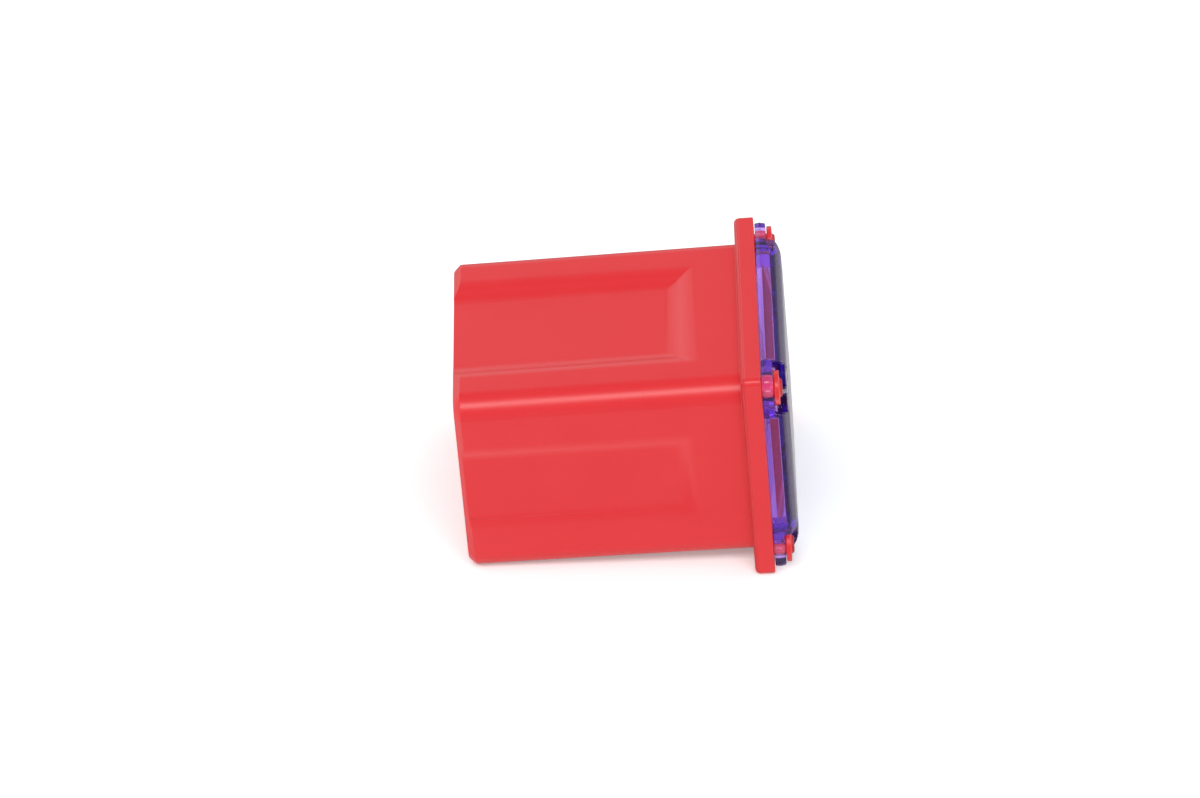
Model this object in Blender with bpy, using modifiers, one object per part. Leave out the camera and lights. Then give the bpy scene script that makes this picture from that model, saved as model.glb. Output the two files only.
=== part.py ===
"""Low-profile cartridge fuse with female terminals, lying on its side.

The fuse axis runs along +X, from the open end that takes the blades to the clear cap.
The flange is wide along Y and low along Z. The origin is under the middle of the part,
on the plane that the flange's lower side touches.

Pieces: housing, window_cap, fuse_element, link_pellet, spring_clip_1 and spring_clip_2.
"""

import math

import bmesh
import bpy
from mathutils import Matrix, Vector

MM = 0.001

# Clearance between pieces that seat on each other, and between a clip and its terminal.
SEAT_GAP = 0.05 * MM
CLIP_GAP = 0.07 * MM

# How far a cutter runs past the face that it cuts.
PAST = 0.5 * MM

# Housing body, measured at the flange. It narrows by the draft toward the open end.
BODY_LENGTH = 15.07 * MM
BODY_WIDTH = 13.76 * MM
BODY_HEIGHT = 11.12 * MM
BODY_DRAFT = math.radians(0.28)
BODY_FILLET = 1.2 * MM
RIM_CHAMFER = 0.36 * MM

# Flange round the cap end.
FLANGE_THICKNESS = 1.05 * MM
FLANGE_OVERHANG = 0.76 * MM
FLANGE_CORNER = 0.36 * MM
FLANGE_EDGE = 0.28 * MM

# Sunk panels, open at the rim: two wide ones on top and bottom, two narrow ones at the sides.
PANEL_END_LAND = 2.57 * MM
PANEL_END_RUN = 0.9 * MM
WIDE_PANEL_MARGIN = 2.83 * MM
WIDE_PANEL_DEPTH = 0.44 * MM
WIDE_PANEL_RUN = 0.81 * MM
NARROW_PANEL_MARGIN = 2.9 * MM
NARROW_PANEL_DEPTH = 0.12 * MM
NARROW_PANEL_RUN = 0.72 * MM

# Inside of the housing: a chamber for the link, and below its ledge a bay for each terminal.
END_WALL = 1.1 * MM
SIDE_WALL = 1.33 * MM
LEDGE_WIDTH = 0.27 * MM
RIB_THICKNESS = 1.4 * MM
CHAMBER_DEPTH = 4.6 * MM
CHAMBER_FILLET = 0.45 * MM

# Windows for the two blades that the fuse plugs onto.
BLADE_WIDTH = 6.3 * MM
BLADE_THICKNESS = 0.8 * MM
BLADE_CLEARANCE = 0.5 * MM
WINDOW_LEAD_IN = 0.4 * MM

# Stakes that hold the cap, one near each corner of the flange.
STAKE_INSET_Y = 1.03 * MM
STAKE_INSET_Z = 1.22 * MM
STAKE_RADIUS = 0.53 * MM
STAKE_HEAD_RADIUS = 0.92 * MM
STAKE_HEAD_HEIGHT = 0.48 * MM

# Clear cap: a plate with a raised window, hollow below.
CAP_INSET = 0.18 * MM
CAP_PLATE = 0.62 * MM
CAP_RAISE = 0.71 * MM
CAP_CORNER = 0.5 * MM
CAP_TOP_ROUND = 0.45 * MM
CAP_WALL = 0.8 * MM
CAP_POCKET_DEPTH = 0.68 * MM
CAP_NOTCH_RADIUS = 1.38 * MM
CAP_NOTCH_WALL = 0.28 * MM

# Fuse element: sheet, terminals and link.
SHEET = 0.5 * MM
LEAF_TIP_TAPER = 0.5 * MM
LEAF_TIP_SETBACK = 0.5 * MM
LEAF_GAP = 1.0 * MM
CONTACT_GAP = 0.5 * MM
FLARE_GAP = 1.5 * MM
CONTACT_SETBACK = 1.9 * MM
CONTACT_LENGTH = 1.9 * MM
LEAF_BEND = 1.6 * MM
EAR_LENGTH = 0.8 * MM
EAR_SHEET = 0.46 * MM
LINK_SHEET = 0.3 * MM
LINK_WIDTH = 2.4 * MM
LINK_RISE = 1.2 * MM
LINK_DIP = 0.9 * MM
LINK_BEND = 0.4 * MM
LINK_SHOULDER = 1.0 * MM
LINK_SEAT_MARGIN = 0.3 * MM
LINK_NECK_WIDTH = 1.1 * MM
LINK_NECK_RADIUS = 0.55 * MM

# Tin pellet riveted in the link.
PELLET_SHANK_RADIUS = 0.4 * MM
PELLET_HEAD_RADIUS = 0.68 * MM
PELLET_HEAD_HEIGHT = 0.3 * MM

# Steel clips round the terminals.
CLIP_SHEET = 0.25 * MM
CLIP_LENGTH = 4.4 * MM
CLIP_SETBACK = 0.7 * MM
CLIP_INNER_RADIUS = 0.18 * MM
CLIP_SEAM = 0.6 * MM
CLIP_BAY_GAP = 0.1 * MM

# Sizes that follow from the driving ones.
FLANGE_WIDTH = BODY_WIDTH + 2 * FLANGE_OVERHANG
FLANGE_HEIGHT = BODY_HEIGHT + 2 * FLANGE_OVERHANG
FLANGE_TOP = BODY_LENGTH + FLANGE_THICKNESS
CAP_BASE = FLANGE_TOP + SEAT_GAP
CAP_TOP = CAP_BASE + CAP_PLATE + CAP_RAISE
STAKE_Y = FLANGE_WIDTH / 2 - STAKE_INSET_Y
STAKE_Z = FLANGE_HEIGHT / 2 - STAKE_INSET_Z
LEDGE = FLANGE_TOP - CHAMBER_DEPTH
CHAMBER_WIDTH = BODY_WIDTH - 2 * SIDE_WALL
CHAMBER_HEIGHT = BODY_HEIGHT - 2 * SIDE_WALL
BAY_WIDTH = (CHAMBER_WIDTH - RIB_THICKNESS) / 2 - LEDGE_WIDTH
BAY_HEIGHT = CHAMBER_HEIGHT - 2 * LEDGE_WIDTH
BAY_CENTRE = (RIB_THICKNESS + BAY_WIDTH) / 2
WINDOW_WIDTH = BLADE_THICKNESS + 3 * BLADE_CLEARANCE
WINDOW_HEIGHT = BLADE_WIDTH + 2 * BLADE_CLEARANCE
LEAF_WIDTH = BAY_HEIGHT - 2 * (CLIP_BAY_GAP + CLIP_SHEET + CLIP_INNER_RADIUS)
LEAF_TIP = END_WALL + LEAF_TIP_SETBACK
EAR_BASE = LEDGE + SEAT_GAP
BEND_CENTRE = EAR_BASE + EAR_LENGTH + SEAT_GAP
BEND_RADIUS = (LEAF_GAP + SHEET) / 2
LINK_BASE = BEND_CENTRE + BEND_RADIUS
LINK_LEVEL = LINK_BASE + LINK_RISE
LINK_SEAT = LINK_LEVEL - LINK_DIP
LINK_SEAT_END = PELLET_HEAD_RADIUS + LINK_SEAT_MARGIN
LINK_SLOPE_END = BAY_CENTRE - LINK_SHOULDER

# How finely round forms are divided: sides of a full circle, and steps of a quarter round.
ROUND_SIDES = 32
ROUND_STEPS = 3

RED = (0.78, 0.055, 0.075)
VIOLET = (0.33, 0.2, 0.75)
COPPER = (0.72, 0.62, 0.5)
TIN = (0.62, 0.62, 0.63)
STEEL = (0.5, 0.51, 0.53)


def clear_scene():
    """Empty the file, so that the part stands alone."""
    for thing in list(bpy.data.objects):
        bpy.data.objects.remove(thing, do_unlink=True)
    for group in list(bpy.data.collections):
        bpy.data.collections.remove(group)


def make_material(name, colour, roughness, metallic=0.0, transmission=0.0):
    """A plain Principled material."""
    material = bpy.data.materials.new(name)
    material.use_nodes = True
    shader = material.node_tree.nodes["Principled BSDF"]
    shader.inputs["Base Color"].default_value = (*colour, 1.0)
    shader.inputs["Roughness"].default_value = roughness
    shader.inputs["Metallic"].default_value = metallic
    shader.inputs["Transmission Weight"].default_value = transmission
    return material


def add_object(name, mesh, group, parent, material=None):
    """Link a mesh as an object under the fuse axis."""
    thing = bpy.data.objects.new(name, mesh)
    group.objects.link(thing)
    thing.parent = parent
    if material:
        mesh.materials.append(material)
    return thing


def mesh_from(bm, name):
    """Turn a bmesh into a mesh with its faces pointing out."""
    bmesh.ops.recalc_face_normals(bm, faces=bm.faces)
    mesh = bpy.data.meshes.new(name)
    bm.to_mesh(mesh)
    bm.free()
    return mesh


def block(start, end, width, height, centre_y=0.0, centre_z=0.0):
    """A box along the fuse axis as a bmesh."""
    bm = bmesh.new()
    bmesh.ops.create_cube(bm, size=1.0)
    bmesh.ops.scale(bm, vec=(end - start, width, height), verts=bm.verts)
    bmesh.ops.translate(bm, vec=((start + end) / 2, centre_y, centre_z), verts=bm.verts)
    return bm


def edges_along(bm, axis):
    """The edges whose main direction is one axis: 0 for X, 1 for Y, 2 for Z."""
    found = []
    for edge in bm.edges:
        run = edge.verts[1].co - edge.verts[0].co
        if abs(run[axis]) > 0.9 * run.length:
            found.append(edge)
    return found


def edges_at(bm, place, reach=1e-6):
    """The edges that lie in the plane X = place."""
    return [edge for edge in bm.edges if all(abs(vert.co.x - place) < reach for vert in edge.verts)]


def bevel(bm, edges, radius, segments):
    """Round or chamfer some edges of a bmesh."""
    bmesh.ops.bevel(bm, geom=edges, offset=radius, segments=segments, profile=0.5,
                    affect="EDGES", clamp_overlap=True)


def turned(profile, sides, name):
    """A solid turned about X from a profile of (place along X, radius) points."""
    bm = bmesh.new()
    verts = [bm.verts.new((place, radius, 0.0)) for place, radius in profile]
    for first, second in zip(verts, verts[1:]):
        bm.edges.new((first, second))
    bmesh.ops.spin(bm, geom=bm.verts[:] + bm.edges[:], axis=(1, 0, 0), cent=(0, 0, 0),
                   angle=2 * math.pi, steps=sides, use_merge=True)
    bmesh.ops.remove_doubles(bm, verts=bm.verts, dist=1e-7)
    return mesh_from(bm, name)


def cylinder(start, end, radius, name):
    """A plain round bar along X."""
    return turned([(start, 0.0), (start, radius), (end, radius), (end, 0.0)], ROUND_SIDES, name)


def arc(centre, radius, start, end, steps):
    """Points on an arc in a plane, from one angle to another."""
    points = []
    for step in range(steps + 1):
        angle = start + (end - start) * step / steps
        points.append((centre[0] + radius * math.cos(angle), centre[1] + radius * math.sin(angle)))
    return points


def rounded_path(corners, radius, steps):
    """A path through corner points, each inner corner turned into an arc."""
    path = [corners[0]]
    for before, corner, after in zip(corners, corners[1:], corners[2:]):
        point = Vector(corner)
        into = (point - Vector(before)).normalized()
        out = (Vector(after) - point).normalized()
        turn = into.angle(out)
        reach = radius * math.tan(turn / 2)
        start = point - into * reach
        side = (out - into).normalized()
        centre = point + side * radius / math.cos(turn / 2)
        from_centre = start - centre
        sense = 1 if into.cross(out) > 0 else -1
        for step in range(steps + 1):
            swing = Matrix.Rotation(sense * turn * step / steps, 2)
            path.append(tuple(centre + swing @ from_centre))
    path.append(corners[-1])
    return path


def strip(path, widths, name):
    """An open sheet along a path of (x, y) points, with its own width at each point."""
    bm = bmesh.new()
    rows = []
    for (place, side), width in zip(path, widths):
        low = bm.verts.new((place, side, -width / 2))
        high = bm.verts.new((place, side, width / 2))
        rows.append((low, high))
    for (low_1, high_1), (low_2, high_2) in zip(rows, rows[1:]):
        bm.faces.new((low_1, low_2, high_2, high_1))
    mesh = bpy.data.meshes.new(name)
    bm.to_mesh(mesh)
    bm.free()
    return mesh


def thicken(thing, thickness):
    """Give a sheet its thickness, half on each side."""
    solidify = thing.modifiers.new("sheet", "SOLIDIFY")
    solidify.thickness = thickness
    solidify.offset = 0.0
    solidify.use_even_offset = True


def combine(thing, other, operation):
    """Cut another solid from this one, or join it on."""
    boolean = thing.modifiers.new(other.name, "BOOLEAN")
    boolean.operation = operation
    boolean.solver = "EXACT"
    boolean.object = other


def as_tool(thing):
    """Hide a cutter or a joined shape from the render."""
    thing.hide_render = True
    thing.display_type = "WIRE"
    return thing


def smooth(thing, angle=math.radians(35)):
    """Shade round faces smooth and keep the real edges sharp."""
    thing.data.shade_smooth()
    thing.data.set_sharp_from_angle(angle=angle)


def body_block():
    """The housing's body: drafted, with round long edges and a chamfered rim."""
    root = FLANGE_TOP - FLANGE_THICKNESS / 2
    bm = block(0.0, root, BODY_WIDTH, BODY_HEIGHT)
    drop = BODY_LENGTH * math.tan(BODY_DRAFT)
    for vert in bm.verts:
        if vert.co.x < BODY_LENGTH / 2:
            vert.co.y -= math.copysign(drop, vert.co.y)
            vert.co.z -= math.copysign(drop, vert.co.z)
    bevel(bm, edges_along(bm, 0), BODY_FILLET, 8)
    bevel(bm, edges_at(bm, 0.0), RIM_CHAMFER, 1)
    return bm


def flange_block():
    """The flange: round corners, and a round edge on the side toward the open end."""
    bm = block(BODY_LENGTH, FLANGE_TOP, FLANGE_WIDTH, FLANGE_HEIGHT)
    bevel(bm, edges_along(bm, 0), FLANGE_CORNER, 5)
    bevel(bm, edges_at(bm, BODY_LENGTH), FLANGE_EDGE, ROUND_STEPS)
    return bm


def panel_block(face, span, depth, run):
    """A cutter for one sunk panel, flared outward and run out past the rim.

    The face is the panel's distance from the axis at the rim, and the run is the width of its
    side slopes. The block lies over +Z, and its floor follows the draft of the body.
    """
    above = 2 * depth
    floor = face - depth
    steepness = run / depth
    end_steepness = PANEL_END_RUN / depth
    end = BODY_LENGTH - PANEL_END_LAND
    bm = block(-2 * RIM_CHAMFER, end, span, depth + above, 0.0, floor + (depth + above) / 2)
    for vert in bm.verts:
        rise = vert.co.z - face
        side = 1 if vert.co.y > 0 else -1
        vert.co.y += side * rise * steepness
        if vert.co.x > 0:
            vert.co.x += rise * end_steepness
        vert.co.z += vert.co.x * math.tan(BODY_DRAFT)
    return bm


def stake_profile():
    """A stake and its domed head, along X, closed at both ends on the axis."""
    foot = FLANGE_TOP - FLANGE_THICKNESS / 2
    seat = CAP_BASE + CAP_PLATE + SEAT_GAP
    profile = [(foot, 0.0), (foot, STAKE_RADIUS), (seat, STAKE_RADIUS)]
    steps = 2 * ROUND_STEPS
    for step in range(steps):
        angle = math.pi / 2 * step / steps
        place = seat + STAKE_HEAD_HEIGHT * math.sin(angle)
        profile.append((place, STAKE_HEAD_RADIUS * math.cos(angle)))
    profile.append((seat + STAKE_HEAD_HEIGHT, 0.0))
    return profile


def corners():
    """The four stake places, as (y, z)."""
    return [(side * STAKE_Y, level * STAKE_Z) for side in (-1, 1) for level in (-1, 1)]


def build_housing(parts, tools, axis, material):
    """The red moulding: body, flange and stakes in one, with its panels and cavities."""
    housing = add_object("housing", mesh_from(body_block(), "housing"), parts, axis, material)
    flange = add_object("flange_form", mesh_from(flange_block(), "flange_form"), tools, axis)
    combine(housing, as_tool(flange), "UNION")

    stake_mesh = turned(stake_profile(), ROUND_SIDES, "stake_form")
    for count, (side, level) in enumerate(corners(), start=1):
        stake = add_object(f"stake_form_{count}", stake_mesh, tools, axis)
        stake.location = (0.0, side, level)
        combine(housing, as_tool(stake), "UNION")

    mouth_drop = 2 * BODY_LENGTH * math.tan(BODY_DRAFT)
    wide_face = (BODY_HEIGHT - mouth_drop) / 2
    narrow_face = (BODY_WIDTH - mouth_drop) / 2
    wide_span = BODY_WIDTH - 2 * WIDE_PANEL_MARGIN
    narrow_span = BODY_HEIGHT - 2 * NARROW_PANEL_MARGIN
    wide = (wide_face, wide_span, WIDE_PANEL_DEPTH, WIDE_PANEL_RUN)
    narrow = (narrow_face, narrow_span, NARROW_PANEL_DEPTH, NARROW_PANEL_RUN)
    for quarter, sizes in enumerate((wide, narrow, wide, narrow)):
        name = f"panel_form_{quarter}"
        panel = add_object(name, mesh_from(panel_block(*sizes), name), tools, axis)
        panel.rotation_euler = (quarter * math.pi / 2, 0.0, 0.0)
        combine(housing, as_tool(panel), "DIFFERENCE")

    chamber_block = block(LEDGE, FLANGE_TOP + PAST, CHAMBER_WIDTH, CHAMBER_HEIGHT)
    bevel(chamber_block, edges_along(chamber_block, 0), CHAMBER_FILLET, 3)
    chamber = add_object("chamber_form", mesh_from(chamber_block, "chamber_form"), tools, axis)
    combine(housing, as_tool(chamber), "DIFFERENCE")

    for count, side in enumerate((-1, 1), start=1):
        centre = side * BAY_CENTRE
        bay_block = block(END_WALL, LEDGE + PAST, BAY_WIDTH, BAY_HEIGHT, centre)
        bay = add_object(f"bay_form_{count}", mesh_from(bay_block, "bay_form"), tools, axis)
        combine(housing, as_tool(bay), "DIFFERENCE")
        window = add_object(f"window_form_{count}", window_mesh(centre), tools, axis)
        combine(housing, as_tool(window), "DIFFERENCE")
    smooth(housing)
    return housing


def window_mesh(centre):
    """A cutter for a blade window with a lead-in round its outer edge."""
    bm = block(-PAST, END_WALL + PAST, WINDOW_WIDTH, WINDOW_HEIGHT, centre)
    bmesh.ops.bisect_plane(bm, geom=bm.verts[:] + bm.edges[:] + bm.faces[:],
                           plane_co=(WINDOW_LEAD_IN, 0, 0), plane_no=(1, 0, 0))
    for vert in bm.verts:
        if vert.co.x < 0:
            flare = WINDOW_LEAD_IN - vert.co.x
            vert.co.y += math.copysign(flare, vert.co.y - centre)
            vert.co.z += math.copysign(flare, vert.co.z)
    return mesh_from(bm, "window_form")


def build_cap(parts, tools, axis, material):
    """The clear cap: one block with rounded top, notched at the stakes and hollow below."""
    width = FLANGE_WIDTH - 2 * CAP_INSET
    height = FLANGE_HEIGHT - 2 * CAP_INSET
    bm = block(CAP_BASE, CAP_TOP, width, height)
    bevel(bm, edges_along(bm, 0), CAP_CORNER, 5)
    bevel(bm, edges_at(bm, CAP_TOP), CAP_TOP_ROUND, ROUND_STEPS)
    cap = add_object("window_cap", mesh_from(bm, "window_cap"), parts, axis, material)

    plate_top = CAP_BASE + CAP_PLATE
    flare = CAP_TOP_ROUND
    notch_profile = [(plate_top, 0.0), (plate_top, CAP_NOTCH_RADIUS), (CAP_TOP - flare, CAP_NOTCH_RADIUS)]
    for step in range(1, ROUND_STEPS + 1):
        angle = math.pi / 2 * step / ROUND_STEPS
        place = CAP_TOP - flare + flare * math.sin(angle)
        notch_profile.append((place, CAP_NOTCH_RADIUS + flare * (1 - math.cos(angle))))
    notch_profile += [(CAP_TOP + PAST, CAP_NOTCH_RADIUS + flare), (CAP_TOP + PAST, 0.0)]
    notch_mesh = turned(notch_profile, ROUND_SIDES, "notch_form")

    hole_mesh = cylinder(CAP_BASE - PAST, CAP_TOP, STAKE_RADIUS + SEAT_GAP, "hole_form")

    pocket_block = block(CAP_BASE - PAST, CAP_BASE + CAP_POCKET_DEPTH, width - 2 * CAP_WALL,
                         height - 2 * CAP_WALL)
    pocket = add_object("pocket_form", mesh_from(pocket_block, "pocket_form"), tools, axis)
    boss_mesh = cylinder(CAP_BASE - 2 * PAST, CAP_TOP, CAP_NOTCH_RADIUS + CAP_NOTCH_WALL, "boss_form")

    for count, (side, level) in enumerate(corners(), start=1):
        boss = add_object(f"boss_form_{count}", boss_mesh, tools, axis)
        boss.location = (0.0, side, level)
        combine(pocket, as_tool(boss), "DIFFERENCE")
    combine(cap, as_tool(pocket), "DIFFERENCE")
    for count, (side, level) in enumerate(corners(), start=1):
        for name, mesh in (("notch_form", notch_mesh), ("hole_form", hole_mesh)):
            cutter = add_object(f"{name}_{count}", mesh, tools, axis)
            cutter.location = (0.0, side, level)
            combine(cap, as_tool(cutter), "DIFFERENCE")
    smooth(cap)
    return cap


def leaf_path():
    """One terminal's sheet line: up one leaf, round the bend and down the other."""
    flare = (FLARE_GAP + SHEET) / 2
    contact = (CONTACT_GAP + SHEET) / 2
    contact_place = LEAF_TIP + CONTACT_SETBACK
    corners_up = [(LEAF_TIP, flare), (contact_place, contact),
                  (contact_place + CONTACT_LENGTH, BEND_RADIUS), (BEND_CENTRE, BEND_RADIUS)]
    up = rounded_path(corners_up, LEAF_BEND, 5)
    over = arc((BEND_CENTRE, 0.0), BEND_RADIUS, math.pi / 2, -math.pi / 2, 12)
    down = [(place, -side) for place, side in reversed(up)]
    return up[:-1] + over + down[1:]


def leaf_offset(place):
    """Distance of a terminal's sheet line from its middle plane at a place along the axis."""
    line = [point for point in leaf_path() if point[1] > 0 and point[0] <= BEND_CENTRE]
    for (place_1, side_1), (place_2, side_2) in zip(line, line[1:]):
        if place_1 <= place <= place_2:
            share = (place - place_1) / (place_2 - place_1)
            return side_1 + share * (side_2 - side_1)
    return line[-1][1]


def leaf_width(place):
    """Width of a terminal's sheet at a place along the axis, narrower at the tip."""
    cut_back = max(LEAF_TIP + LEAF_TIP_TAPER - place, 0.0)
    return LEAF_WIDTH - 2 * cut_back


def build_element(parts, tools, axis, material):
    """The stamping: two folded terminals with ears on the ledge, joined by the link."""
    path = leaf_path()
    terminals = []
    for count, side in enumerate((-1, 1), start=1):
        name = "fuse_element" if count == 1 else "terminal_form"
        mesh = strip(path, [leaf_width(place) for place, offset in path], name)
        mesh.transform(Matrix.Translation((0.0, side * BAY_CENTRE, 0.0)))
        if count == 1:
            terminal = add_object(name, mesh, parts, axis, material)
        else:
            terminal = as_tool(add_object(name, mesh, tools, axis))
        thicken(terminal, SHEET)
        terminals.append(terminal)
    element = terminals[0]

    ear_width = (BAY_HEIGHT + CHAMBER_HEIGHT) / 2
    for side in (-1, 1):
        for leaf in (-1, 1):
            centre = side * BAY_CENTRE + leaf * BEND_RADIUS
            ear_block = block(EAR_BASE, EAR_BASE + EAR_LENGTH, EAR_SHEET, ear_width, centre)
            ear = add_object(f"ear_form_{side}_{leaf}", mesh_from(ear_block, "ear_form"), tools, axis)
            combine(terminals[(side + 1) // 2], as_tool(ear), "UNION")
    combine(element, terminals[1], "UNION")

    corners_link = [(LINK_BASE, -BAY_CENTRE), (LINK_LEVEL, -BAY_CENTRE), (LINK_LEVEL, -LINK_SLOPE_END),
                    (LINK_SEAT, -LINK_SEAT_END), (LINK_SEAT, 0.0)]
    half = rounded_path(corners_link, LINK_BEND, 4)
    link_path = half[:-1] + [(place, -side) for place, side in reversed(half[:-1])]
    link = add_object("link_form", strip(link_path, [LINK_WIDTH] * len(link_path), "link_form"), tools, axis)
    thicken(link, LINK_SHEET)
    combine(element, as_tool(link), "UNION")

    neck_place = (LINK_SLOPE_END + LINK_SEAT_END) / 2
    neck_mesh = cylinder(LINK_SEAT - LINK_SHEET, LINK_LEVEL + LINK_SHEET, LINK_NECK_RADIUS, "neck_form")
    for side in (-1, 1):
        for level in (-1, 1):
            neck = add_object(f"neck_form_{side}_{level}", neck_mesh, tools, axis)
            neck.location = (0.0, side * neck_place, level * (LINK_NECK_WIDTH / 2 + LINK_NECK_RADIUS))
            combine(element, as_tool(neck), "DIFFERENCE")

    hole_mesh = cylinder(LINK_SEAT - LINK_SHEET, LINK_SEAT + LINK_SHEET, PELLET_SHANK_RADIUS + SEAT_GAP,
                         "rivet_hole_form")
    hole = add_object("rivet_hole_form", hole_mesh, tools, axis)
    combine(element, as_tool(hole), "DIFFERENCE")
    smooth(element)
    return element


def build_pellet(parts, axis, material):
    """The tin pellet: a shank through the link with a head on each side."""
    reach = LINK_SHEET / 2 + SEAT_GAP
    edge = PELLET_HEAD_HEIGHT / 3
    half = [(reach, PELLET_SHANK_RADIUS), (reach, PELLET_HEAD_RADIUS - edge / 2),
            (reach + edge / 2, PELLET_HEAD_RADIUS), (reach + PELLET_HEAD_HEIGHT - edge, PELLET_HEAD_RADIUS),
            (reach + PELLET_HEAD_HEIGHT, PELLET_HEAD_RADIUS - edge), (reach + PELLET_HEAD_HEIGHT, 0.0)]
    profile = [(-place, radius) for place, radius in reversed(half)] + half
    pellet = add_object("link_pellet", turned(profile, ROUND_SIDES, "link_pellet"), parts, axis, material)
    pellet.location = (LINK_SEAT, 0.0, 0.0)
    smooth(pellet)
    return pellet


def build_clip(count, side, parts, axis, material):
    """A steel clip: a sheet wrapped round both leaves, with its seam on the outer side."""
    reach = LEAF_WIDTH / 2 + CLIP_INNER_RADIUS + CLIP_SHEET / 2
    start = LEAF_TIP + CLIP_SETBACK
    stations = 11
    bm = bmesh.new()
    rows = []
    for station in range(stations):
        place = start + CLIP_LENGTH * station / (stations - 1)
        across = leaf_offset(place) + SHEET / 2 + CLIP_GAP + CLIP_SHEET / 2
        outline = [(across, CLIP_SEAM / 2), (across, reach), (-across, reach), (-across, -reach),
                   (across, -reach), (across, -CLIP_SEAM / 2)]
        path = rounded_path(outline, CLIP_INNER_RADIUS + CLIP_SHEET / 2, 5)
        rows.append([bm.verts.new((place, side * offset, level)) for offset, level in path])
    for first, second in zip(rows, rows[1:]):
        for near_1, near_2, far_2, far_1 in zip(first, first[1:], second[1:], second):
            bm.faces.new((near_1, near_2, far_2, far_1))
    clip = add_object(f"spring_clip_{count}", mesh_from(bm, f"spring_clip_{count}"), parts, axis, material)
    clip.location = (0.0, side * BAY_CENTRE, 0.0)
    thicken(clip, CLIP_SHEET)
    smooth(clip)
    return clip


def main():
    """Build every piece under an empty on the fuse axis, at the open end."""
    clear_scene()
    parts = bpy.data.collections.new("cartridge_fuse")
    tools = bpy.data.collections.new("cutters")
    for group in (parts, tools):
        bpy.context.scene.collection.children.link(group)

    axis = bpy.data.objects.new("fuse_axis", None)
    parts.objects.link(axis)
    axis.location = (-CAP_TOP / 2, 0.0, FLANGE_HEIGHT / 2)

    red = make_material("red_moulding", RED, 0.38)
    violet = make_material("clear_violet", VIOLET, 0.08, transmission=0.9)
    copper = make_material("plated_copper", COPPER, 0.3, metallic=1.0)
    tin = make_material("tin", TIN, 0.4, metallic=1.0)
    steel = make_material("spring_steel", STEEL, 0.25, metallic=1.0)

    build_housing(parts, tools, axis, red)
    build_cap(parts, tools, axis, violet)
    build_element(parts, tools, axis, copper)
    build_pellet(parts, axis, tin)
    for count, side in enumerate((-1, 1), start=1):
        build_clip(count, side, parts, axis, steel)
    bpy.context.view_layer.update()


main()
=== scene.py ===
"""A low-profile cartridge fuse, lying on its side on a white sweep.

The fuse axis runs along X, from the open end that takes the blades to the clear cap.
"""

import math

import bpy
from mathutils import Matrix, Vector


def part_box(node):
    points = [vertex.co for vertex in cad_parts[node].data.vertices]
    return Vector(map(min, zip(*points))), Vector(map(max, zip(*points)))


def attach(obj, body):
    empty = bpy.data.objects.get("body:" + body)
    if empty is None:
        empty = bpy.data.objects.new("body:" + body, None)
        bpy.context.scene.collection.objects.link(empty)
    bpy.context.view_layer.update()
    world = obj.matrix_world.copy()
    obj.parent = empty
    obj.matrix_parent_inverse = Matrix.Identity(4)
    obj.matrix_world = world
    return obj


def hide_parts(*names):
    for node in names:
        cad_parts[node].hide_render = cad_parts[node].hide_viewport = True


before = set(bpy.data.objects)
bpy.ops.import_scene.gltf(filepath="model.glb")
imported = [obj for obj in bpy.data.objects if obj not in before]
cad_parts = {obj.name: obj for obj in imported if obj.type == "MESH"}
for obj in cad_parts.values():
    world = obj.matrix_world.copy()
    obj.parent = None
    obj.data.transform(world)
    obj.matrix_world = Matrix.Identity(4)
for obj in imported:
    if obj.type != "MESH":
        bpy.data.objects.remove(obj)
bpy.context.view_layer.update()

# Housing

# The red body of the fuse, injection moulded in one shot from a filled polyester (PBT).
# It has a flange round the cap end, a sunk panel on each side, two windows for the blades,
# a bay for each terminal, a chamber for the link and four posts that are staked over the cap.

MM = 0.001
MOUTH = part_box("housing")[0].x
AXIS = sum(corner.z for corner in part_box("link_pellet")) / 2

BODY_LENGTH = 15.07 * MM
BODY_WIDTH = 13.76 * MM
BODY_HEIGHT = 11.12 * MM
BODY_DRAFT = math.radians(0.28)
BODY_DROP = BODY_LENGTH * math.tan(BODY_DRAFT)
BODY_FILLET = 1.2 * MM
RIM_CHAMFER = 0.36 * MM
FLANGE_THICKNESS = 1.05 * MM
FLANGE_WIDTH = 15.28 * MM
FLANGE_HEIGHT = 12.64 * MM
FLANGE_CORNER = 0.36 * MM
FLANGE_EDGE = 0.28 * MM
FLANGE_FACE = MOUTH + BODY_LENGTH + FLANGE_THICKNESS

# A cutter runs PAST the face that it cuts, and two points within a HAIR count as level.
PAST = 0.5 * MM
HAIR = 0.002 * MM


def start_box(name, low, high):
    """Add a cube that fills the space between two corners."""
    bpy.ops.object.select_all(action="DESELECT")
    low, high = Vector(low), Vector(high)
    bpy.ops.mesh.primitive_cube_add(size=1.0, location=(low + high) / 2, scale=high - low)
    bpy.ops.object.transform_apply(location=True, rotation=True, scale=True)
    piece = bpy.context.object
    piece.name = name
    return piece


def start_bar(name, start, end, radius, side, level, vertices=48):
    """Add a round bar along the fuse axis."""
    bpy.ops.object.select_all(action="DESELECT")
    bpy.ops.mesh.primitive_cylinder_add(vertices=vertices, radius=radius, depth=end - start,
                                        location=((start + end) / 2, side, level),
                                        rotation=(0, math.pi / 2, 0))
    bpy.ops.object.transform_apply(location=True, rotation=True, scale=True)
    piece = bpy.context.object
    piece.name = name
    return piece


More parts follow.
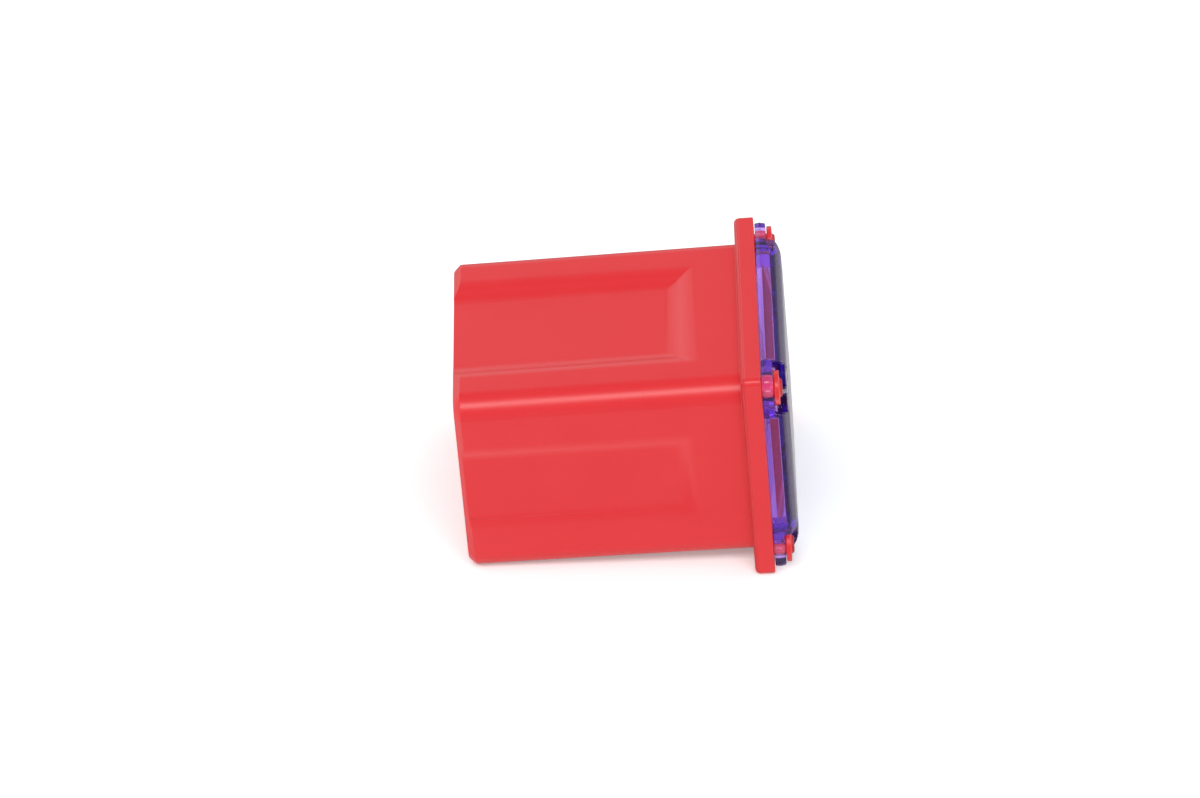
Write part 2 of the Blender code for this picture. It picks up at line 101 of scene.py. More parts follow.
def pick(piece, kind, test):
    """Open a piece in edit mode with only the points, edges or faces selected that pass a test."""
    bpy.ops.object.select_all(action="DESELECT")
    piece.select_set(True)
    bpy.context.view_layer.objects.active = piece
    bpy.ops.object.mode_set(mode="EDIT")
    bpy.ops.mesh.select_mode(type=kind)
    bpy.ops.mesh.select_all(action="DESELECT")
    bpy.ops.object.mode_set(mode="OBJECT")
    mesh = piece.data
    if kind == "VERT":
        for vert in mesh.vertices:
            vert.select = test(vert.co)
    elif kind == "EDGE":
        for edge in mesh.edges:
            edge.select = test(*(mesh.vertices[index].co for index in edge.vertices))
    else:
        for face in mesh.polygons:
            face.select = test(face.center, face.normal)
    bpy.ops.object.mode_set(mode="EDIT")


def all_of_it(centre, normal):
    """A test that every face passes."""
    return True


def done():
    """Leave edit mode."""
    bpy.ops.object.mode_set(mode="OBJECT")


def round_edges(piece, test, radius, segments):
    """Round or chamfer the edges that pass a test."""
    pick(piece, "EDGE", test)
    bpy.ops.mesh.bevel(offset=radius, segments=segments, profile=0.5, affect="EDGES", clamp_overlap=True)
    done()


def runs_along_x(first, second):
    """True for an edge along the fuse axis."""
    return abs(second.x - first.x) > 0.9 * (second - first).length


def lies_at(place):
    """A test for the edges in one plane across the fuse axis."""
    return lambda first, second: abs(first.x - place) < HAIR and abs(second.x - place) < HAIR


def apply_modifier(piece, kind, **settings):
    """Add a modifier with its settings and apply it."""
    bpy.context.view_layer.objects.active = piece
    modifier = piece.modifiers.new(kind.lower(), kind)
    for name, value in settings.items():
        setattr(modifier, name, value)
    bpy.ops.object.modifier_apply(modifier=modifier.name)


def join_or_cut(piece, tool, operation):
    """Join another solid on or cut it away, and throw that solid away."""
    apply_modifier(piece, "BOOLEAN", operation=operation, solver="EXACT", object=tool)
    bpy.data.objects.remove(tool, do_unlink=True)


def finish_edges(piece, radius):
    """Break every edge by a small radius, and shade the piece smooth with flat faces kept flat."""
    bpy.ops.object.select_all(action="DESELECT")
    piece.select_set(True)
    bpy.context.view_layer.objects.active = piece
    bpy.ops.object.shade_smooth()
    apply_modifier(piece, "BEVEL", width=radius, segments=2, limit_method="ANGLE",
                   angle_limit=math.radians(14), use_clamp_overlap=False, miter_outer="MITER_SHARP")
    apply_modifier(piece, "WEIGHTED_NORMAL", mode="FACE_AREA_WITH_ANGLE", weight=60, keep_sharp=True)


housing = start_box("housing_moulding", (MOUTH, -BODY_WIDTH / 2, AXIS - BODY_HEIGHT / 2),
                    (FLANGE_FACE - FLANGE_THICKNESS / 2, BODY_WIDTH / 2, AXIS + BODY_HEIGHT / 2))
pick(housing, "FACE", lambda centre, normal: normal.x < -0.9)
bpy.ops.transform.resize(value=(1.0, 1 - 2 * BODY_DROP / BODY_WIDTH, 1 - 2 * BODY_DROP / BODY_HEIGHT),
                         center_override=(MOUTH, 0.0, AXIS))
done()
round_edges(housing, runs_along_x, BODY_FILLET, segments=14)
round_edges(housing, lies_at(MOUTH), RIM_CHAMFER, segments=1)

flange = start_box("flange", (FLANGE_FACE - FLANGE_THICKNESS, -FLANGE_WIDTH / 2, AXIS - FLANGE_HEIGHT / 2),
                   (FLANGE_FACE, FLANGE_WIDTH / 2, AXIS + FLANGE_HEIGHT / 2))
round_edges(flange, runs_along_x, FLANGE_CORNER, segments=8)
round_edges(flange, lies_at(FLANGE_FACE - FLANGE_THICKNESS), FLANGE_EDGE, segments=6)
join_or_cut(housing, flange, "UNION")

# Each panel cutter is a block over the top face, flared upward, tilted to the draft of the face
# and turned a quarter at a time. Its floor edges are round, and so are the edges that it leaves.
# The two wide sides have a deep panel, and the two narrow ones a shallow panel.
PANEL_END = 12.5 * MM
PANEL_END_SLOPE = 0.9 * MM
PANEL_OVERRUN = 0.72 * MM
for quarter in range(4):
    if quarter % 2 == 0:
        across, through = BODY_WIDTH, BODY_HEIGHT
        margin, slope, depth, soft = 2.83 * MM, 0.81 * MM, 0.44 * MM, 0.43 * MM
    else:
        across, through = BODY_HEIGHT, BODY_WIDTH
        margin, slope, depth, soft = 2.9 * MM, 0.72 * MM, 0.12 * MM, 0.2 * MM
    face = AXIS + through / 2 - BODY_DROP
    half = across / 2 - margin - slope
    start, end = MOUTH - PANEL_OVERRUN, MOUTH + PANEL_END - PANEL_END_SLOPE
    panel = start_box("panel", (start, -half, face - depth), (end, half, face + 2 * depth))
    pick(panel, "FACE", lambda centre, normal: normal.z > 0.9)
    bpy.ops.transform.resize(value=((end + 3 * PANEL_END_SLOPE - start) / (end - start),
                                    (half + 3 * slope) / half, 1),
                             center_override=(start, 0.0, face - depth))
    done()
    round_edges(panel, lambda first, second: max(first.z, second.z) < face - depth + 5 * HAIR,
                soft, segments=6)
    pick(panel, "FACE", all_of_it)
    bpy.ops.transform.rotate(value=BODY_DRAFT, orient_axis="Y", center_override=(MOUTH, 0.0, face))
    bpy.ops.transform.rotate(value=quarter * math.pi / 2, orient_axis="X", center_override=(0, 0, AXIS))
    done()
    join_or_cut(housing, panel, "DIFFERENCE")

    def on_rim(point):
        """True for a point on the panel's outer edge."""
        place = Matrix.Rotation(-quarter * math.pi / 2, 3, "X") @ (point - Vector((0, 0, AXIS)))
        level = through / 2 - BODY_DROP * (1 - (point.x - MOUTH) / BODY_LENGTH)
        on_face = abs(place.z - level) < 2 * HAIR and point.x > MOUTH + RIM_CHAMFER / 2
        on_side = abs(abs(place.y) - half - slope) < 15 * HAIR
        on_end = abs(point.x - MOUTH - PANEL_END) < 15 * HAIR
        return on_face and (on_side or on_end)

    round_edges(housing, lambda first, second: on_rim(first) and on_rim(second), soft, segments=6)

SIDE_WALL = 1.33 * MM
LEDGE = FLANGE_FACE - 4.6 * MM
CHAMBER_FILLET = 0.45 * MM
CHAMBER_WIDTH, CHAMBER_HEIGHT = BODY_WIDTH - 2 * SIDE_WALL, BODY_HEIGHT - 2 * SIDE_WALL
chamber = start_box("chamber", (LEDGE, -CHAMBER_WIDTH / 2, AXIS - CHAMBER_HEIGHT / 2),
                    (FLANGE_FACE + PAST, CHAMBER_WIDTH / 2, AXIS + CHAMBER_HEIGHT / 2))
round_edges(chamber, runs_along_x, CHAMBER_FILLET, segments=6)
join_or_cut(housing, chamber, "DIFFERENCE")

END_WALL = 1.1 * MM
BAY_WIDTH, BAY_HEIGHT = 4.58 * MM, 7.92 * MM
BAY_CENTRE = 2.99 * MM
WINDOW_WIDTH, WINDOW_HEIGHT, LEAD_IN = 2.3 * MM, 7.3 * MM, 0.4 * MM
for side in (-BAY_CENTRE, BAY_CENTRE):
    bay = start_box("bay", (MOUTH + END_WALL, side - BAY_WIDTH / 2, AXIS - BAY_HEIGHT / 2),
                    (LEDGE + PAST, side + BAY_WIDTH / 2, AXIS + BAY_HEIGHT / 2))
    join_or_cut(housing, bay, "DIFFERENCE")
    window = start_box("window", (MOUTH - PAST, side - WINDOW_WIDTH / 2, AXIS - WINDOW_HEIGHT / 2),
                       (MOUTH + END_WALL + PAST, side + WINDOW_WIDTH / 2, AXIS + WINDOW_HEIGHT / 2))
    pick(window, "FACE", all_of_it)
    bpy.ops.mesh.bisect(plane_co=(MOUTH + LEAD_IN, 0, 0), plane_no=(1, 0, 0), threshold=1e-7)
    done()
    pick(window, "FACE", lambda centre, normal: normal.x < -0.9)
    flare = 2 * (LEAD_IN + PAST)
    bpy.ops.transform.resize(value=(1, 1 + flare / WINDOW_WIDTH, 1 + flare / WINDOW_HEIGHT),
                             center_override=(MOUTH, side, AXIS))
    done()
    join_or_cut(housing, window, "DIFFERENCE")

# Each post is a round bar through the cap. The staking tool formed its end into a flat head with
# a small dome in the middle.
SEAT_GAP = 0.05 * MM
CAP_PLATE = 0.57 * MM
POST_RADIUS = 0.53 * MM
POST_LAP = 0.1 * MM
POST_Y = FLANGE_WIDTH / 2 - 1.03 * MM
POST_Z = FLANGE_HEIGHT / 2 - 1.22 * MM
POST_PLACES = [(side, AXIS + level) for side in (-POST_Y, POST_Y) for level in (-POST_Z, POST_Z)]
HEAD_SEAT = FLANGE_FACE + CAP_PLATE + 2 * SEAT_GAP
HEAD_RADIUS = 0.92 * MM
HEAD_HEIGHT = 0.42 * MM
HEAD_RIM = 0.27 * MM
HEAD_ROUND = 0.24 * MM
DOME_RADIUS = 0.5 * MM
DOME_ROUND = 0.14 * MM
for side, level in POST_PLACES:
    post = start_bar("post", FLANGE_FACE - PAST, HEAD_SEAT + POST_LAP, POST_RADIUS, side, level)
    head = start_bar("head", HEAD_SEAT, HEAD_SEAT + HEAD_RIM, HEAD_RADIUS, side, level)
    pick(head, "FACE", lambda centre, normal: normal.x > 0.9)
    bpy.ops.mesh.inset(thickness=HEAD_RADIUS - DOME_RADIUS)
    bpy.ops.mesh.extrude_region_move(TRANSFORM_OT_translate={"value": (HEAD_HEIGHT - HEAD_RIM, 0, 0)})
    done()
    round_edges(head, lies_at(HEAD_SEAT + HEAD_HEIGHT), DOME_ROUND, segments=6)
    round_edges(head, lambda first, second: lies_at(HEAD_SEAT + HEAD_RIM)(first, second)
                and (first.yz - Vector((side, level))).length > 0.9 * HEAD_RADIUS,
                HEAD_ROUND, segments=8)
    join_or_cut(head, post, "UNION")
    join_or_cut(housing, head, "UNION")

# Breaking the edges pushes a few points out past the mouth, so they're set back on its plane.
finish_edges(housing, radius=0.05 * MM)
pick(housing, "VERT", lambda point: point.x < MOUTH)
bpy.ops.transform.resize(value=(0, 1, 1), center_override=(MOUTH, 0, 0))
done()


def linear(code):
    """Turn an sRGB hex colour into linear light."""
    values = [int(code[place:place + 2], 16) / 255 for place in (1, 3, 5)]
    return tuple(v / 12.92 if v <= 0.04045 else ((v + 0.055) / 1.055) ** 2.4 for v in values) + (1.0,)


def add_node(tree, kind, settings=None, links=None):
    """Add a shader node, set its properties and input values, and link its inputs."""
    node = tree.nodes.new(kind)
    for name, value in (settings or {}).items():
        if isinstance(name, int) or name in node.inputs:
            node.inputs[name].default_value = value
        else:
            setattr(node, name, value)
    for name, source in (links or {}).items():
        tree.links.new(source, node.inputs[name])
    return node


def new_material(name):
    """Start a material, and hand back its node tree and its output node."""
    material = bpy.data.materials.new(name)
    material.use_nodes = True
    tree = material.node_tree
    tree.nodes.clear()
    return material, tree, tree.nodes.new("ShaderNodeOutputMaterial")


# Filled PBT from a spark-eroded mould: an even satin red, with a grain that is too fine to see
# as dots. The grain is drawn 0.11 mm wide, so that it still breaks up the gloss in the render,
# and slow cloudiness 3 mm wide comes from the flow of the filled melt.
red_pbt, tree, output = new_material("moulded_red_pbt")
place = add_node(tree, "ShaderNodeTexCoord")
grain = add_node(tree, "ShaderNodeTexNoise", {"Scale": 1 / (0.11 * MM), "Detail": 2.0, "Roughness": 0.55},
                 {"Vector": place.outputs["Object"]})
cloud = add_node(tree, "ShaderNodeTexNoise", {"Scale": 1 / (3.0 * MM), "Detail": 3.0, "Roughness": 0.6},
                 {"Vector": place.outputs["Object"]})
tone = add_node(tree, "ShaderNodeMix", {"data_type": "RGBA"}, {"Factor": cloud.outputs["Fac"]})
tone.inputs[6].default_value = linear("#E52A31")
tone.inputs[7].default_value = linear("#E93036")
gloss = add_node(tree, "ShaderNodeMapRange", {"To Min": 0.285, "To Max": 0.37},
                 {"Value": cloud.outputs["Fac"]})
bump = add_node(tree, "ShaderNodeBump", {"Strength": 0.6, "Distance": 0.004 * MM},
                {"Height": grain.outputs["Fac"]})
plastic = add_node(tree, "ShaderNodeBsdfPrincipled", {"IOR": 1.55},
                   {"Base Color": tone.outputs[2], "Roughness": gloss.outputs["Result"],
                    "Normal": bump.outputs["Normal"]})
tree.links.new(plastic.outputs["BSDF"], output.inputs["Surface"])
housing.data.materials.append(red_pbt)
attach(housing, "root")
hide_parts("housing")

# Window cap

# A clear violet polycarbonate moulding that closes the chamber and shows the link.
# A plate with a raised hollow window, notched round the four posts that hold it.

CAP_BASE = FLANGE_FACE + SEAT_GAP
CAP_TOP = CAP_BASE + 1.33 * MM
CAP_INSET = 0.18 * MM
CAP_WIDTH, CAP_HEIGHT = FLANGE_WIDTH - 2 * CAP_INSET, FLANGE_HEIGHT - 2 * CAP_INSET
CAP_CORNER = 0.5 * MM
CAP_ROUND = 0.45 * MM
CAP_WALL = 0.8 * MM
CROWN = 2.3
PARTING = 0.27 * MM
TAPER_BELOW, TAPER_ABOVE = 0.03 * MM, 0.1 * MM
POCKET_DEPTH = 0.68 * MM
NOTCH_RADIUS = 1.38 * MM
NOTCH_WALL = 0.28 * MM


def draw_in(piece, test, inward):
    """Draw the points that pass a test in toward the fuse axis, by one distance on all sides."""
    pick(piece, "VERT", test)
    bpy.ops.transform.resize(value=(1, 1 - 2 * inward / CAP_WIDTH, 1 - 2 * inward / CAP_HEIGHT),
                             center_override=(CAP_BASE, 0, AXIS))
    done()


cap = start_box("window_moulding", (CAP_BASE, -CAP_WIDTH / 2, AXIS - CAP_HEIGHT / 2),
                (CAP_TOP, CAP_WIDTH / 2, AXIS + CAP_HEIGHT / 2))
round_edges(cap, runs_along_x, CAP_CORNER, segments=8)
round_edges(cap, lies_at(CAP_TOP), CAP_ROUND, segments=8)

# The rounding of the top edge is drawn out toward the middle, so the window looks crowned.
for vert in cap.data.vertices:
    rise = min(max((vert.co.x - CAP_TOP + CAP_ROUND) / CAP_ROUND, 0.0), 1.0)
    inward = (CROWN - 1) * CAP_ROUND * (1 - math.sqrt(1 - rise ** 2))
    vert.co.y *= 1 - 2 * inward / CAP_WIDTH
    vert.co.z = AXIS + (vert.co.z - AXIS) * (1 - 2 * inward / CAP_HEIGHT)

# The mould parts a little above the plate's back, and its two halves draw away from there.
pick(cap, "FACE", all_of_it)
bpy.ops.mesh.bisect(plane_co=(CAP_BASE + PARTING, 0, 0), plane_no=(1, 0, 0), threshold=1e-7)
done()
draw_in(cap, lambda point: abs(point.x - CAP_BASE) < 5 * HAIR, TAPER_BELOW)
draw_in(cap, lambda point: point.x > CAP_BASE + PARTING + 5 * HAIR, TAPER_ABOVE)

pocket = start_box("pocket", (CAP_BASE - PAST, -CAP_WIDTH / 2 + CAP_WALL, AXIS - CAP_HEIGHT / 2 + CAP_WALL),
                   (CAP_BASE + POCKET_DEPTH, CAP_WIDTH / 2 - CAP_WALL, AXIS + CAP_HEIGHT / 2 - CAP_WALL))
for side, level in POST_PLACES:
    boss = start_bar("boss", CAP_BASE - 2 * PAST, CAP_TOP, NOTCH_RADIUS + NOTCH_WALL, side, level)
    join_or_cut(pocket, boss, "DIFFERENCE")
join_or_cut(cap, pocket, "DIFFERENCE")

# Each notch is a round bar, with a small bell round its mouth that leaves the top edge rounded.
BELL = 0.12 * MM
BELL_STEPS = 5
for side, level in POST_PLACES:
    notch = start_bar("notch", CAP_BASE + CAP_PLATE, CAP_TOP + PAST, NOTCH_RADIUS, side, level,
                      vertices=64)
    pick(notch, "FACE", all_of_it)
    for step in range(BELL_STEPS + 1):
        ring = CAP_TOP - BELL * math.cos(step * math.pi / (2 * BELL_STEPS))
        bpy.ops.mesh.select_all(action="SELECT")
        bpy.ops.mesh.bisect(plane_co=(ring, 0, 0), plane_no=(1, 0, 0), threshold=1e-7)
    done()
    for vert in notch.data.vertices:
        rise = min(max((vert.co.x - CAP_TOP + BELL) / BELL, 0.0), 1.0)
        spread = 1 + BELL * (1 - math.sqrt(1 - rise ** 2)) / NOTCH_RADIUS
        vert.co.y = side + (vert.co.y - side) * spread
        vert.co.z = level + (vert.co.z - level) * spread
    join_or_cut(cap, notch, "DIFFERENCE")
    hole = start_bar("hole", CAP_BASE - PAST, CAP_TOP, POST_RADIUS + SEAT_GAP, side, level)
    join_or_cut(cap, hole, "DIFFERENCE")
finish_edges(cap, radius=0.04 * MM)

# Clear polycarbonate, dyed violet right through and moulded in a polished tool: mirror smooth,
# and darker where the light has further to go. The absorption is in the volume, per metre. The
# dye leaves a trace of violet haze, which shows where the view runs along the plate. The face
# ripples by a few microns, 1.6 mm wide, from the way the melt set. The cap's shadow is off, as
# it would be solid black and leave the chamber dark.
violet_pc, tree, output = new_material("clear_violet_polycarbonate")
place = add_node(tree, "ShaderNodeTexCoord")
ripple = add_node(tree, "ShaderNodeTexNoise", {"Scale": 1 / (1.6 * MM), "Detail": 1.0},
                  {"Vector": place.outputs["Object"]})
bump = add_node(tree, "ShaderNodeBump", {"Strength": 0.5, "Distance": 0.004 * MM},
                {"Height": ripple.outputs["Fac"]})
clear = add_node(tree, "ShaderNodeBsdfPrincipled",
                 {"Base Color": linear("#FFFFFF"), "Roughness": 0.04, "IOR": 1.585,
                  "Transmission Weight": 1.0},
                 {"Normal": bump.outputs["Normal"]})
haze = add_node(tree, "ShaderNodeBsdfDiffuse", {"Color": linear("#B868DC")})
hazy = add_node(tree, "ShaderNodeMixShader", {0: 0.045}, {1: clear.outputs["BSDF"], 2: haze.outputs["BSDF"]})
dye = add_node(tree, "ShaderNodeVolumeAbsorption", {"Color": linear("#C267F2"), "Density": 1100.0})
tree.links.new(hazy.outputs["Shader"], output.inputs["Surface"])
tree.links.new(dye.outputs["Volume"], output.inputs["Volume"])
cap.visible_shadow = False
cap.data.materials.append(violet_pc)
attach(cap, "root")
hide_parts("window_cap")

# Fuse element

# One stamping of copper alloy strip, folded into two female terminals with the narrowed link
# between them, and tin plated. It stands on the ledge of the chamber.


def refine(node, name, radius):
    """Copy a CAD node, merge its loose triangles into clean faces and break its edges."""
    piece = bpy.data.objects.new(name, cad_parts[node].data.copy())
    bpy.context.scene.collection.objects.link(piece)
    piece.data.materials.clear()
    pick(piece, "FACE", all_of_it)
    bpy.ops.mesh.remove_doubles(threshold=HAIR / 4)
    bpy.ops.mesh.dissolve_limited(angle_limit=math.radians(0.3))
    done()
    bpy.ops.object.shade_smooth()
    apply_modifier(piece, "BEVEL", width=radius, segments=2, limit_method="ANGLE",
                   angle_limit=math.radians(35), use_clamp_overlap=True)
    bpy.ops.object.shade_smooth_by_angle(angle=math.radians(40))
    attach(piece, "root")
    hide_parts(node)
    return piece


element = refine("fuse_element", "terminal_stamping", radius=0.04 * MM)

# Tin-plated copper alloy strip: a pale warm grey metal with fine rolling lines along the strip,
# drawn 0.09 mm apart so that they show, and a soft bloom 1.8 mm wide where the plating is thin.
plated_strip, tree, output = new_material("tin_plated_copper_strip")
place = add_node(tree, "ShaderNodeTexCoord")
rolled = add_node(tree, "ShaderNodeMapping", {"Scale": (0.12, 1.0, 1.0)}, {"Vector": place.outputs["Object"]})
lines = add_node(tree, "ShaderNodeTexNoise", {"Scale": 1 / (0.09 * MM), "Detail": 3.0, "Roughness": 0.6},
                 {"Vector": rolled.outputs["Vector"]})
bloom = add_node(tree, "ShaderNodeTexNoise", {"Scale": 1 / (1.8 * MM), "Detail": 4.0, "Roughness": 0.6},
                 {"Vector": place.outputs["Object"]})
tone = add_node(tree, "ShaderNodeMix", {"data_type": "RGBA"}, {"Factor": bloom.outputs["Fac"]})
tone.inputs[6].default_value = linear("#D2C8B8")
tone.inputs[7].default_value = linear("#C4AE94")
rough = add_node(tree, "ShaderNodeMapRange",
                 {"From Min": 0.3, "From Max": 0.7, "To Min": 0.29, "To Max": 0.42},
                 {"Value": lines.outputs["Fac"]})
bump = add_node(tree, "ShaderNodeBump", {"Strength": 0.5, "Distance": 0.003 * MM},
                {"Height": lines.outputs["Fac"]})
metal = add_node(tree, "ShaderNodeBsdfPrincipled", {"Metallic": 1.0},
                 {"Base Color": tone.outputs[2], "Roughness": rough.outputs["Result"],
                  "Normal": bump.outputs["Normal"]})
tree.links.new(metal.outputs["BSDF"], output.inputs["Surface"])
element.data.materials.append(plated_strip)

# Tin pellet

# A slug of tin riveted through the middle of the link. Under a lasting overload it melts into
# the copper there, and the link parts at that place.

pellet = refine("link_pellet", "tin_slug", radius=0.03 * MM)

# Cast tin, pressed into place: bright grey with a dull, slightly pitted skin, pits 0.12 mm wide.
cast_tin, tree, output = new_material("pressed_tin")
place = add_node(tree, "ShaderNodeTexCoord")
pits = add_node(tree, "ShaderNodeTexNoise", {"Scale": 1 / (0.12 * MM), "Detail": 3.0, "Roughness": 0.65},
                {"Vector": place.outputs["Object"]})
tone = add_node(tree, "ShaderNodeMix", {"data_type": "RGBA"}, {"Factor": pits.outputs["Fac"]})
tone.inputs[6].default_value = linear("#C4C4C6")
tone.inputs[7].default_value = linear("#A9A9AC")
bump = add_node(tree, "ShaderNodeBump", {"Strength": 0.7, "Distance": 0.01 * MM},
                {"Height": pits.outputs["Fac"]})
metal = add_node(tree, "ShaderNodeBsdfPrincipled", {"Metallic": 1.0, "Roughness": 0.42},
                 {"Base Color": tone.outputs[2], "Normal": bump.outputs["Normal"]})
tree.links.new(metal.outputs["BSDF"], output.inputs["Surface"])
pellet.data.materials.append(cast_tin)

# Spring clips

# Strips of stainless spring steel wrapped round the leaves of each terminal. They keep the
# contact force when the copper gets hot.

# Stainless spring strip: cold rolled, so a cool grey with fine lines across the wrap, drawn
# 0.07 mm apart so that they show.
spring_strip, tree, output = new_material("rolled_spring_steel")
place = add_node(tree, "ShaderNodeTexCoord")
rolled = add_node(tree, "ShaderNodeMapping", {"Scale": (1.0, 0.1, 0.1)}, {"Vector": place.outputs["Object"]})
lines = add_node(tree, "ShaderNodeTexNoise", {"Scale": 1 / (0.07 * MM), "Detail": 3.0, "Roughness": 0.6},
                 {"Vector": rolled.outputs["Vector"]})
tone = add_node(tree, "ShaderNodeMix", {"data_type": "RGBA"}, {"Factor": lines.outputs["Fac"]})
tone.inputs[6].default_value = linear("#BDBEC2")
tone.inputs[7].default_value = linear("#A2A4A9")
rough = add_node(tree, "ShaderNodeMapRange",
                 {"From Min": 0.3, "From Max": 0.7, "To Min": 0.16, "To Max": 0.26},
                 {"Value": lines.outputs["Fac"]})
bump = add_node(tree, "ShaderNodeBump", {"Strength": 0.4, "Distance": 0.002 * MM},
                {"Height": lines.outputs["Fac"]})
metal = add_node(tree, "ShaderNodeBsdfPrincipled", {"Metallic": 1.0},
                 {"Base Color": tone.outputs[2], "Roughness": rough.outputs["Result"],
                  "Normal": bump.outputs["Normal"]})
tree.links.new(metal.outputs["BSDF"], output.inputs["Surface"])
for node in ("spring_clip_1", "spring_clip_2"):
    clip = refine(node, node.replace("spring", "contact"), radius=0.03 * MM)
    clip.data.materials.append(spring_strip)

# White sweep

# A sheet of white acrylic under the fuse. The fuse lies on the lower edge of its flange and on
# the lower rim of its open end, so the sheet leans by about three degrees.

SHEET_SIZE = 1.2
touch_flange = Vector((FLANGE_FACE - FLANGE_THICKNESS + FLANGE_EDGE, 0.0, AXIS - FLANGE_HEIGHT / 2))
rim_drop = BODY_DROP * (1 - RIM_CHAMFER / BODY_LENGTH)
touch_mouth = Vector((MOUTH + RIM_CHAMFER, 0.0, AXIS - BODY_HEIGHT / 2 + rim_drop))
lean = math.atan2(touch_mouth.z - touch_flange.z, touch_flange.x - touch_mouth.x)
bpy.ops.object.select_all(action="DESELECT")
bpy.ops.mesh.primitive_plane_add(size=SHEET_SIZE, location=touch_flange, rotation=(0.0, lean, 0.0))
bpy.ops.object.transform_apply(location=True, rotation=True, scale=True)
floor = bpy.context.object
floor.name = "white_sweep"

# White acrylic sheet, matt on top. It lights the fuse from below, and the gloss of the fuse shows
# only the stretch of it close by, because the tent's own levels stand for the rest. To the camera
# and through the clear cap it is plain white, with the shadow of the fuse kept. Its white holds
# back a little red there, which the fuse throws on it.
matt_card, tree, output = new_material("matt_white_acrylic")
path = add_node(tree, "ShaderNodeLightPath")
seen = add_node(tree, "ShaderNodeMath", {"operation": "MAXIMUM"},
                {0: path.outputs["Is Camera Ray"], 1: path.outputs["Is Transmission Ray"]})
matt = add_node(tree, "ShaderNodeBsdfDiffuse", {"Color": (0.9, 0.9, 0.9, 1.0)})
through = add_node(tree, "ShaderNodeBsdfTransparent")
away = add_node(tree, "ShaderNodeMapRange", {"From Min": 2 * MM, "From Max": 7 * MM},
                {"Value": path.outputs["Ray Length"]})
gloss_away = add_node(tree, "ShaderNodeMath", {"operation": "MULTIPLY"},
                      {0: path.outputs["Is Glossy Ray"], 1: away.outputs["Result"]})
sheet = add_node(tree, "ShaderNodeMixShader", None,
                 {0: gloss_away.outputs["Value"], 1: matt.outputs["BSDF"], 2: through.outputs["BSDF"]})
bright_matt = add_node(tree, "ShaderNodeBsdfDiffuse", {"Color": (0.98, 1.05, 1.05, 1.0)})
glow = add_node(tree, "ShaderNodeEmission", {"Color": (1.0, 1.0, 1.0, 1.0), "Strength": 0.23})
white = add_node(tree, "ShaderNodeAddShader", None,
                 {0: bright_matt.outputs["BSDF"], 1: glow.outputs["Emission"]})
mix = add_node(tree, "ShaderNodeMixShader", None,
               {0: seen.outputs["Value"], 1: sheet.outputs["Shader"], 2: white.outputs["Shader"]})
tree.links.new(mix.outputs["Shader"], output.inputs["Surface"])
floor.data.materials.append(matt_card)

# Light

# A white tent with a long soft box over the camera and a weak one behind on the left. Two black
# cards hang over the camera side. They bound what the gloss shows of the tent and the soft box,
# and nothing else sees them.

world = bpy.data.worlds.new("white_tent")
bpy.context.scene.world = world
world.use_nodes = True
tree = world.node_tree
tree.nodes.clear()
output = tree.nodes.new("ShaderNodeOutputWorld")
path = add_node(tree, "ShaderNodeLightPath")
seen = add_node(tree, "ShaderNodeMath", {"operation": "MAXIMUM"},
                {0: path.outputs["Is Camera Ray"], 1: path.outputs["Is Transmission Ray"]})
place = add_node(tree, "ShaderNodeTexCoord")
toward = add_node(tree, "ShaderNodeSeparateXYZ", None, {0: place.outputs["Generated"]})


def add_levels(source, table):
    """Turn a direction from -1 to 1 into a strength, by a table of both."""
    spread = add_node(tree, "ShaderNodeMapRange", {"From Min": -1.0, "From Max": 1.0}, {"Value": source})
    ramp = add_node(tree, "ShaderNodeValToRGB", None, {"Fac": spread.outputs["Result"]})
    stops = ramp.color_ramp.elements
    for number, (level, strength) in enumerate(table):
        stop = stops[number] if number < 2 else stops.new(1.0)
        stop.position, stop.color = (level + 1) / 2, (strength, strength, strength, 1.0)
    return ramp.outputs["Color"]


# What the gloss sees: the sheet bright underfoot and dim toward the horizon, the tent bright low
# down and dim overhead, bright ends to the left and right, and the sheet again behind the fuse.
# Each pair is a place from one end of an axis to the other, and the brightness there.
up_and_down = add_levels(toward.outputs["Z"], ((-0.85, 1.9), (-0.58, 0.36), (-0.35, 0.06), (-0.02, 0.06),
                                               (0.05, 1.0), (0.3, 0.7), (0.52, 0.42), (1.0, 0.4)))
left_to_right = add_levels(toward.outputs["X"], ((-0.85, 1.15), (-0.25, 0.1), (0.25, 0.1), (0.85, 1.5)))
behind = add_levels(toward.outputs["Y"], ((0.2, 0.0), (0.55, 0.54)))
below = add_levels(toward.outputs["Z"], ((-0.28, 1.0), (-0.08, 0.0)))
back_sheet = add_node(tree, "ShaderNodeMath", {"operation": "MULTIPLY"}, {0: behind, 1: below})
round_it = add_node(tree, "ShaderNodeMath", {"operation": "MAXIMUM"}, {0: up_and_down, 1: left_to_right})
brightest = add_node(tree, "ShaderNodeMath", {"operation": "MAXIMUM"},
                     {0: round_it.outputs["Value"], 1: back_sheet.outputs["Value"]})
strength = add_node(tree, "ShaderNodeMix", {"A": 0.64},
                    {"Factor": path.outputs["Is Glossy Ray"], "B": brightest.outputs["Value"]})
tent = add_node(tree, "ShaderNodeBackground", {"Color": (1.0, 1.0, 1.0, 1.0)},
                {"Strength": strength.outputs["Result"]})
backdrop = add_node(tree, "ShaderNodeBackground", {"Color": (1.0, 1.0, 1.0, 1.0), "Strength": 1.0})
mix = add_node(tree, "ShaderNodeMixShader", None,
               {0: seen.outputs["Value"], 1: tent.outputs["Background"], 2: backdrop.outputs["Background"]})
tree.links.new(mix.outputs["Shader"], output.inputs["Surface"])


